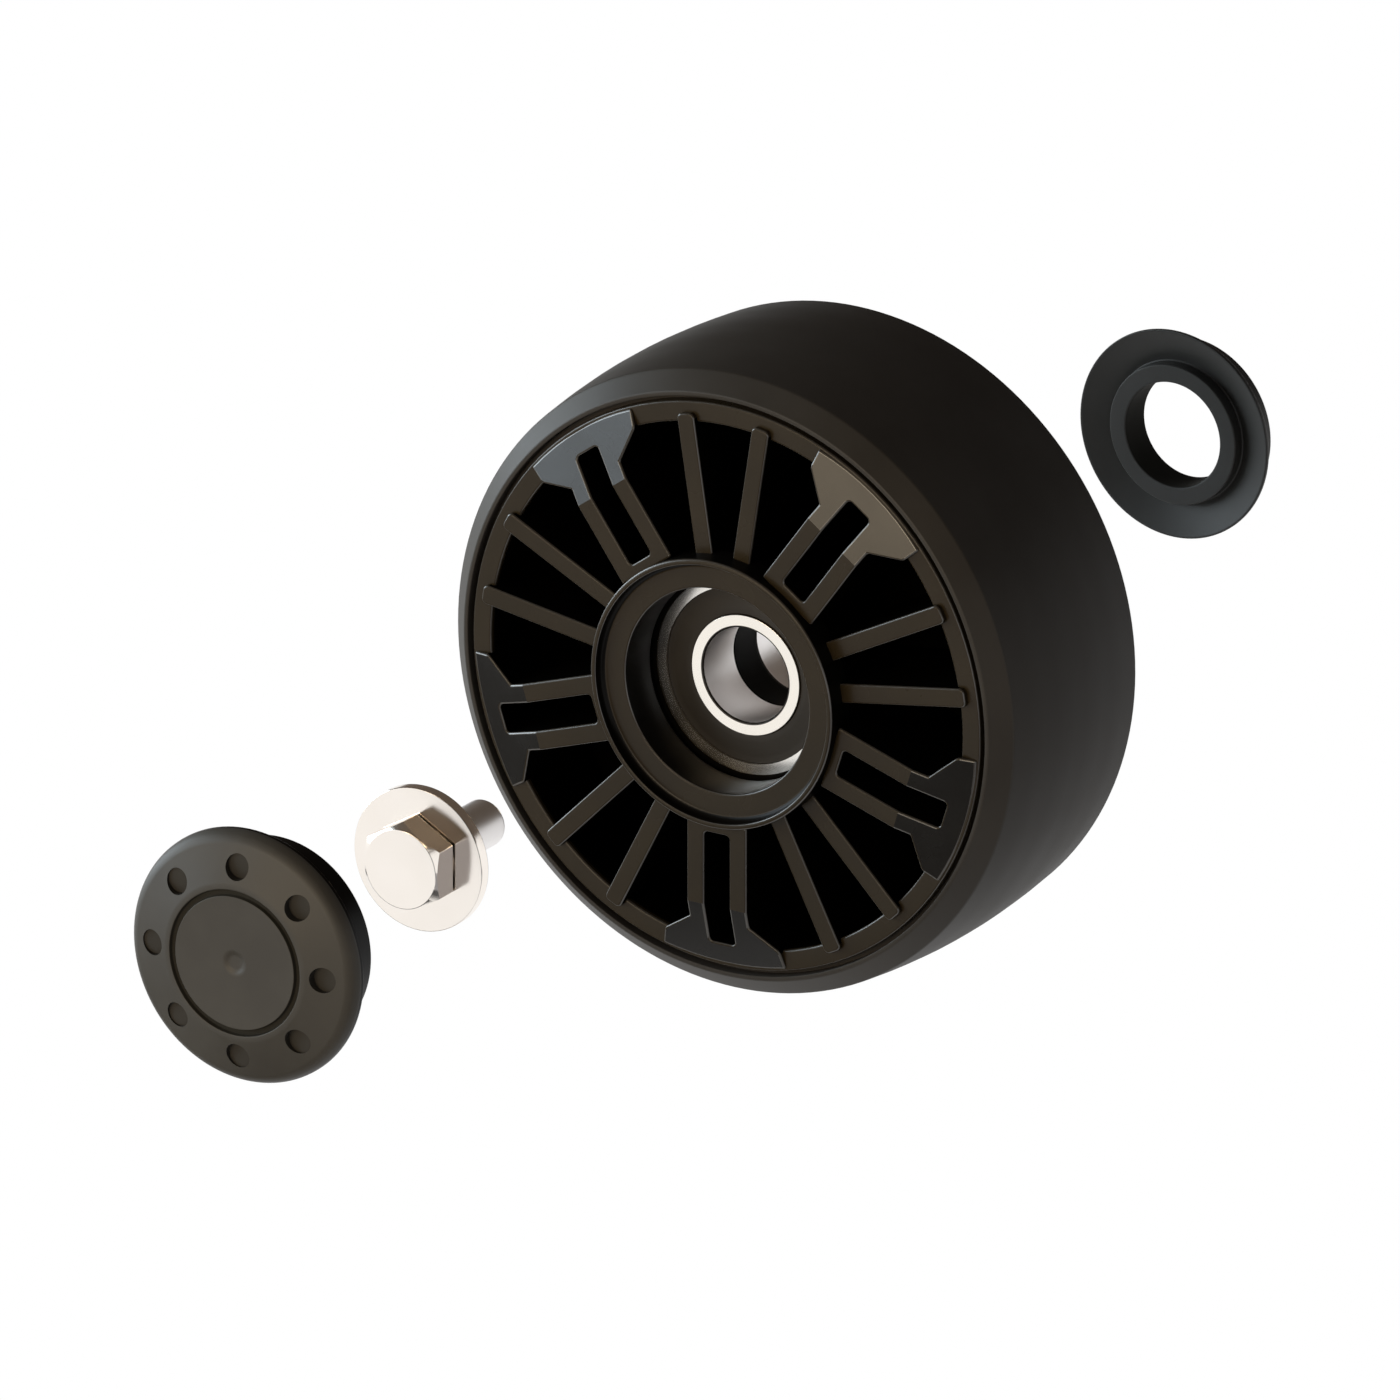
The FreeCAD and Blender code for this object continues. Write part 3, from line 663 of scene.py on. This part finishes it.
def makeShield(b, place, centre, side, sign):
    # a rubber disc that falls away slightly to its outer brim
    lip = b["shieldIn"] + b["shieldFlat"]
    brim = b["shieldSeat"] - b["shieldMargin"]
    front, back = sign * b["shieldNear"], sign * b["shieldFar"]
    frontBrim = sign * (b["shieldNear"] - b["shieldDish"])
    backBrim = sign * (b["shieldFar"] - b["shieldDish"])
    shield = turnOutline(place + side + "Shield", shiftAlong([
        (b["shieldIn"], front, b["shieldEdge"]), (lip, front, b["shieldRound"]),
        (brim, frontBrim, b["shieldRound"]), (b["shieldSeat"], frontBrim, b["shieldEdge"]),
        (b["shieldSeat"], backBrim),
        (brim, backBrim), (lip, back), (b["shieldIn"], back)], centre))
    smoothPiece(shield)
    node = place + "_bearing_" + side.lower() + "_shield"
    finishPiece(shield, "shieldRubber", "wheel", [node])


def dressHidden(place):
    # the balls and cages keep their solids, since the shields cover them
    dress = {"balls": "ballSteel", "front_cage_half": "cageSteel", "rear_cage_half": "cageSteel"}
    for node, finish in dress.items():
        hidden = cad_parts[place + "_bearing_" + node]
        hidden.data.materials.clear()
        hidden.data.materials.append(finishes[finish])


for place, centre in (("front", -bearing["centre"]), ("rear", bearing["centre"])):
    makeInnerRing(bearing, place, centre)
    makeOuterRing(bearing, place, centre)
    makeShield(bearing, place, centre, "Front", -1)
    makeShield(bearing, place, centre, "Rear", 1)
    dressHidden(place)

spacer = {"bore": 10.02, "outside": 12.4, "half": 4.0, "edge": 0.2}
spacerSleeve = turnOutline("spacerSleeve", [
    (spacer["bore"], -spacer["half"], spacer["edge"]), (spacer["outside"], -spacer["half"], spacer["edge"]),
    (spacer["outside"], spacer["half"], spacer["edge"]), (spacer["bore"], spacer["half"], spacer["edge"])])
smoothPiece(spacerSleeve)
finishPiece(spacerSleeve, "spacerPlastic", "axle_side", ["bearing_spacer"])

# hub cap

cap = {
    "edge": -200.6, "height": 5.0, "edgeWidth": 1.2, "radius": 26.3, "flat": 16.0, "flatRound": 0.6,
    "brow": (24.9, 2.5, 1.0), "round": (26.0, 3.85, 0.8), "edgeRound": 0.5, "backRound": 0.3,
    "ring": 14.5, "ringWidth": 1.4, "ringFloor": 0.7, "ringDepth": 0.8, "ringEdge": 0.12, "ringRound": 0.15,
    "plug": 21.4, "plugLength": 10.5, "rootRound": 0.2, "plugRound": 0.5, "plugEdge": 0.4,
    "wall": 2.0, "floorWall": 1.4, "floorRound": 0.8,
    "dimples": 8, "dimpleCircle": 19.8, "dimple": 2.65, "dimpleDepth": 2.2, "dimpleSteps": 40,
    "dent": 2.5, "dentFloor": 1.5, "dentDepth": 0.4, "dentRound": 0.3, "dentEdge": 0.4,
}


def capOutline(c):
    face = c["edge"] - c["height"]
    seat = c["edge"] + c["edgeWidth"]
    floor = face + c["dimpleDepth"] + c["floorWall"]
    end = seat + c["plugLength"]
    hollow = c["plug"] - c["wall"]
    half = c["ringWidth"] / 2
    floorHalf = half * c["ringFloor"]
    ring, ringFoot = c["ring"], face + c["ringDepth"]
    return [
        (0, face + c["dentDepth"]), (c["dentFloor"], face + c["dentDepth"], c["dentRound"]),
        (c["dent"], face, c["dentEdge"]),
        (ring - half, face, c["ringEdge"]), (ring - floorHalf, ringFoot, c["ringRound"]),
        (ring + floorHalf, ringFoot, c["ringRound"]), (ring + half, face, c["ringEdge"]),
        (c["flat"], face, c["flatRound"]),
        (c["brow"][0], face + c["brow"][1], c["brow"][2]), (c["round"][0], face + c["round"][1], c["round"][2]),
        (c["radius"], c["edge"], c["edgeRound"]), (c["radius"], seat, c["backRound"]),
        (c["plug"], seat, c["rootRound"]), (c["plug"], end, c["plugRound"]),
        (hollow, end, c["plugEdge"]), (hollow, floor, c["floorRound"]), (0, floor)]


def makeCap(c):
    piece = turnOutline("hubCap", capOutline(c))
    clearSelection()
    bpy.ops.mesh.primitive_cylinder_add(vertices=c["dimpleSteps"], radius=c["dimple"] * mm,
                                        depth=2 * c["dimpleDepth"] * mm,
                                        location=(0, (c["edge"] - c["height"]) * mm, c["dimpleCircle"] * mm),
                                        rotation=(math.pi / 2, 0, 0))
    cutter = bpy.context.object
    bpy.ops.object.transform_apply(location=True, rotation=True, scale=True)
    joinPieces(cutter, [turnedCopy(cutter, 360 / c["dimples"] * i) for i in range(1, c["dimples"])])
    applyModifier(piece, "BOOLEAN", operation="DIFFERENCE", solver="EXACT", object=cutter)
    bpy.data.objects.remove(cutter)
    return piece


def shadeCap(piece, c):
    # the plug, the ring groove and the dimples get darker copies of the plastic: painted shade
    margin, skin, upright = 0.1, 0.06, 0.2
    plugShade = addFinish(piece, "paintedShadePlastic")
    dimpleShade = addFinish(piece, "capShade")
    ringShade = addFinish(piece, "dullShade")
    front = c["edge"] - c["height"]
    for face in piece.data.polygons:
        across, deep = facePlace(face)
        groove = abs(across - c["ring"]) < c["ringWidth"] / 2 and deep > front + skin
        sunk = deep - front - c["dimpleDepth"]
        inDimple = abs(across - c["dimpleCircle"]) < c["dimple"] + margin and sunk < margin
        onFloor = abs(sunk) < slight
        if deep > c["edge"] + margin:
            face.material_index = plugShade
        elif groove:
            face.material_index = ringShade
        elif inDimple and (abs(face.normal.y) < upright or onFloor):
            face.material_index = dimpleShade


hubCap = smoothPiece(makeCap(cap))
finishPiece(hubCap, "capPlastic", "cap", ["hub_cap"])
shadeCap(hubCap, cap)

# axle bolt and washer

bolt = {
    "front": -144.8, "height": 6.5, "across": 17.0, "bevelRadius": 8.2, "bevel": 1.1, "faceRound": 0.08,
    "headRound": 0.18, "headSegments": 2, "headAngle": 40, "blankMargin": 1.0,
    "foot": 0.45, "footRadius": 7.9, "footSink": 1.5, "footRound": 0.1,
    "shank": 4.9, "length": 25.0, "tip": 1.0, "shankSteps": 96, "smoothAngle": 25,
}
washer = {"radius": 15.0, "hole": 5.25, "thickness": 2.5, "edge": 0.25, "holeEdge": 0.15}


def makeBolt(b):
    # a hexagon cut to a turned blank, which bevels its corners, and a shank with a round foot
    back = b["front"] + b["height"]
    corner = b["across"] / math.sqrt(3)
    head = b["height"] - b["foot"]
    clearSelection()
    bpy.ops.mesh.primitive_cylinder_add(vertices=6, radius=corner * mm, depth=head * mm,
                                        location=(0, (b["front"] + head / 2) * mm, 0),
                                        rotation=(math.pi / 2, 0, 0))
    piece = bpy.context.object
    piece.name = "axleBolt"
    bpy.ops.object.transform_apply(location=True, rotation=True, scale=True)
    roundEdges(piece, b["headRound"], b["headSegments"], b["headAngle"])
    slope = b["bevel"] / (corner - b["bevelRadius"])
    outside, behind = corner + b["blankMargin"], back + b["blankMargin"]
    blank = turnOutline("headBlank", [
        (0, b["front"]), (b["bevelRadius"], b["front"], b["faceRound"]),
        (outside, b["front"] + (outside - b["bevelRadius"]) * slope), (outside, behind), (0, behind)])
    applyModifier(piece, "BOOLEAN", operation="INTERSECT", solver="EXACT", object=blank)
    bpy.data.objects.remove(blank)
    sunk, end = back - b["footSink"], back + b["length"]
    shank = turnOutline("shank", [
        (0, sunk), (b["footRadius"], sunk), (b["footRadius"], back, b["footRound"]), (b["shank"], back),
        (b["shank"], end, b["tip"]), (0, end)], b["shankSteps"])
    return joinPieces(piece, [shank])


def shadeShank(piece, b):
    # the shank is ground duller than the plated head
    margin = 0.1
    shank = addFinish(piece, "boreSteel")
    for face in piece.data.polygons:
        if facePlace(face)[1] > b["front"] + b["height"] + margin:
            face.material_index = shank


axleBolt = smoothPiece(makeBolt(bolt), bolt["smoothAngle"])
finishPiece(axleBolt, "platedSteel", "bolt", ["axle_bolt"])
shadeShank(axleBolt, bolt)
washerFront = bolt["front"] + bolt["height"]
washerBack = washerFront + washer["thickness"]
washerDisc = turnOutline("washerDisc", [
    (washer["hole"], washerFront, washer["holeEdge"]), (washer["radius"], washerFront, washer["edge"]),
    (washer["radius"], washerBack, washer["edge"]), (washer["hole"], washerBack, washer["holeEdge"]),
], fineSteps)
smoothPiece(washerDisc)
finishPiece(washerDisc, "washerSteel", "bolt", ["washer"])

# axle seal

seal = {
    "face": 148.2, "length": 7.7, "hole": 11.2, "holeRound": 0.4, "collar": 15.0, "collarRound": 0.35,
    "dish": 2.9, "dishRound": 0.6, "lip": 22.3, "lipFlat": 0.4, "lipSet": 0.5, "lipEdge": 0.9,
    "lipFrontRound": 0.15, "lipRound": 0.2, "lipBackRound": 0.3,
    "waist": 17.6, "waistFront": 3.8, "waistBack": 4.8, "waistRound": 0.25,
    "body": 19.0, "bodyRound": 0.35, "endRound": 0.5,
}


def makeSeal(s):
    face = s["face"]
    lipFront, end = face + s["lipSet"], face + s["length"]
    waistFront, waistBack = face + s["waistFront"], face + s["waistBack"]
    return turnOutline("axleSeal", [
        (s["hole"], face, s["holeRound"]), (s["collar"], face, s["collarRound"]),
        (s["collar"], face + s["dish"], s["dishRound"]),
        (s["lip"] - s["lipFlat"], lipFront, s["lipFrontRound"]),
        (s["lip"], lipFront, s["lipRound"]), (s["lip"], lipFront + s["lipEdge"], s["lipBackRound"]),
        (s["waist"], waistFront, s["waistRound"]), (s["waist"], waistBack, s["waistRound"]),
        (s["body"], waistBack, s["bodyRound"]), (s["body"], end, s["endRound"]),
        (s["hole"], end, s["holeRound"])])


def shadeHole(piece, s):
    # the wall of the hole lies in shade
    margin = 0.05
    shade = addFinish(piece, "dullShade")
    for face in piece.data.polygons:
        if facePlace(face)[0] < s["hole"] + margin:
            face.material_index = shade


axleSeal = smoothPiece(makeSeal(seal))
finishPiece(axleSeal, "sealRubber", "seal", ["axle_seal"])
shadeHole(axleSeal, seal)
print("pieces ready")

# stage, light and camera

view = {
    "azimuth": 32.0, "elevation": 20.6, "lens": 1000.0, "sensor": 36.0, "clipEnd": 100.0,
    "scale": 5.0, "frame": 1400, "aim": (0, -23.5, 0), "aimPixel": (725.5, 686.6),
}
studio = {
    "floor": -0.3, "floorSize": 30.0, "floorTone": rgb(0.8, 0.8, 0.8), "dull": 0.9,
    "skyTone": rgb(0.9, 0.93, 1.0), "skyStrength": 0.15, "cardTone": rgb(0.008, 0.007, 0.006),
}
lamps = [
    {"name": "coolSide", "left": 72, "lift": 12, "distance": 1.5,
     "size": (1.7, 0.75), "bright": 6.6, "colour": (0.78, 0.91, 1.0)},
    {"name": "warmFront", "left": 6, "lift": 11, "distance": 1.5,
     "size": (0.95, 0.68), "bright": 4.95, "colour": (1.0, 0.79, 0.52)},
]
cards = [
    {"name": "lowCard", "place": (-0.26, -0.32, -0.295), "turn": (0, 0, math.radians(-25.2)),
     "size": (0.88, 0.295), "glow": (0.003, 0.003, 0.003)},
    {"name": "sideCard", "place": (0.62, -0.65, -0.294), "turn": (0, 0, 0),
     "size": (0.9, 0.9), "glow": (0.30, 0.295, 0.31)},
    {"name": "topCard", "place": (0, 0, 0.95), "turn": (0, 0, 0),
     "size": (6.0, 6.0), "glow": (0.095, 0.074, 0.057)},
    {"name": "backCard", "place": (-0.6, 1.6, 0.5), "turn": (math.pi / 2, 0, 0),
     "size": (3.4, 0.9), "glow": (0.12, 0.095, 0.077)},
]


def makeCamera(v):
    # a long lens that puts the aimed point on its pixel of the photograph
    turn, lift = math.radians(v["azimuth"]), math.radians(v["elevation"])
    right = Vector((math.cos(turn), math.sin(turn), 0))
    ahead = Vector((-math.sin(turn) * math.cos(lift), math.cos(turn) * math.cos(lift), -math.sin(lift)))
    up = right.cross(ahead)
    middle = v["frame"] / 2
    target = Vector(v["aim"]) * mm
    target -= right * (v["aimPixel"][0] - middle) / v["scale"] * mm
    target -= up * (middle - v["aimPixel"][1]) / v["scale"] * mm
    data = bpy.data.cameras.new("photoCamera")
    data.sensor_width = v["sensor"]
    data.lens = v["lens"]
    data.clip_end = v["clipEnd"]
    distance = v["frame"] / v["scale"] * mm * v["lens"] / v["sensor"]
    camera = bpy.data.objects.new("photoCamera", data)
    attitude = Matrix((right, up, -ahead)).transposed().to_4x4()
    camera.matrix_world = Matrix.Translation(target - ahead * distance) @ attitude
    bpy.context.scene.collection.objects.link(camera)
    bpy.context.scene.camera = camera
    return target


def fromTarget(target, left, lift, distance):
    # a place seen from the target, turned left of straight ahead and lifted, in degrees
    turn, rise = math.radians(left), math.radians(lift)
    level = math.cos(rise)
    return target + distance * Vector((-math.sin(turn) * level, -math.cos(turn) * level, math.sin(rise)))


def facing(target, spot):
    return Matrix.Translation(spot) @ (target - spot).to_track_quat("-Z", "Y").to_matrix().to_4x4()


def addLamp(target, lamp):
    data = bpy.data.lights.new(lamp["name"], "AREA")
    data.shape = "RECTANGLE"
    data.size, data.size_y = lamp["size"]
    data.energy = lamp["bright"] * math.pi * data.size * data.size_y
    data.color = lamp["colour"]
    shown = bpy.data.objects.new(lamp["name"], data)
    shown.matrix_world = facing(target, fromTarget(target, lamp["left"], lamp["lift"], lamp["distance"]))
    shown.visible_camera = False
    bpy.context.scene.collection.objects.link(shown)


def addDarkCard(card, s):
    # a dark studio card that only shows in reflections
    clearSelection()
    bpy.ops.mesh.primitive_plane_add(size=1, location=card["place"], rotation=card["turn"])
    piece = bpy.context.object
    piece.name = card["name"]
    piece.scale = (card["size"][0], card["size"][1], 1)
    bpy.ops.object.transform_apply(location=True, rotation=True, scale=True)
    material = bpy.data.materials.new(card["name"])
    material.use_nodes = True
    surface = material.node_tree.nodes["Principled BSDF"]
    surface.inputs["Base Color"].default_value = s["cardTone"]
    surface.inputs["Roughness"].default_value = s["dull"]
    surface.inputs["Specular IOR Level"].default_value = 0.0
    surface.inputs["Emission Color"].default_value = rgb(*card["glow"])
    surface.inputs["Emission Strength"].default_value = 1.0
    piece.data.materials.append(material)
    piece.visible_camera = False
    piece.visible_diffuse = False
    piece.visible_shadow = False


def showWhite(tree, plain, white, output):
    # white to the camera and in reflections, and plain for the light that falls on the pieces
    path = tree.nodes.new("ShaderNodeLightPath")
    seen = addNode(tree, "Math", operation="MAXIMUM")
    both = addNode(tree, "Math", operation="MAXIMUM")
    mix = tree.nodes.new("ShaderNodeMixShader")
    tree.links.new(path.outputs["Is Glossy Ray"], both.inputs[0])
    tree.links.new(path.outputs["Is Transmission Ray"], both.inputs[1])
    tree.links.new(path.outputs["Is Camera Ray"], seen.inputs[0])
    tree.links.new(both.outputs[0], seen.inputs[1])
    tree.links.new(seen.outputs[0], mix.inputs[0])
    tree.links.new(plain.outputs[0], mix.inputs[1])
    tree.links.new(white.outputs[0], mix.inputs[2])
    tree.links.new(mix.outputs[0], tree.nodes[output].inputs["Surface"])


def makeFloor(s):
    clearSelection()
    bpy.ops.mesh.primitive_plane_add(size=s["floorSize"], location=(0, 0, s["floor"]))
    floor = bpy.context.object
    floor.name = "studioFloor"
    material = bpy.data.materials.new("paleFloor")
    material.use_nodes = True
    tree = material.node_tree
    surface = tree.nodes["Principled BSDF"]
    surface.inputs["Base Color"].default_value = s["floorTone"]
    surface.inputs["Roughness"].default_value = s["dull"]
    showWhite(tree, surface, tree.nodes.new("ShaderNodeEmission"), "Material Output")
    floor.data.materials.append(material)


def makeSky(s):
    world = bpy.data.worlds.new("studio")
    world.use_nodes = True
    bpy.context.scene.world = world
    tree = world.node_tree
    sky = tree.nodes["Background"]
    sky.inputs["Color"].default_value = s["skyTone"]
    sky.inputs["Strength"].default_value = s["skyStrength"]
    white = addNode(tree, "Background", Color=rgb(1, 1, 1))
    showWhite(tree, sky, white, "World Output")


target = makeCamera(view)
makeFloor(studio)
makeSky(studio)
for lamp in lamps:
    addLamp(target, lamp)
for card in cards:
    addDarkCard(card, studio)
bpy.context.scene.view_settings.view_transform = "Standard"
print("stage ready")
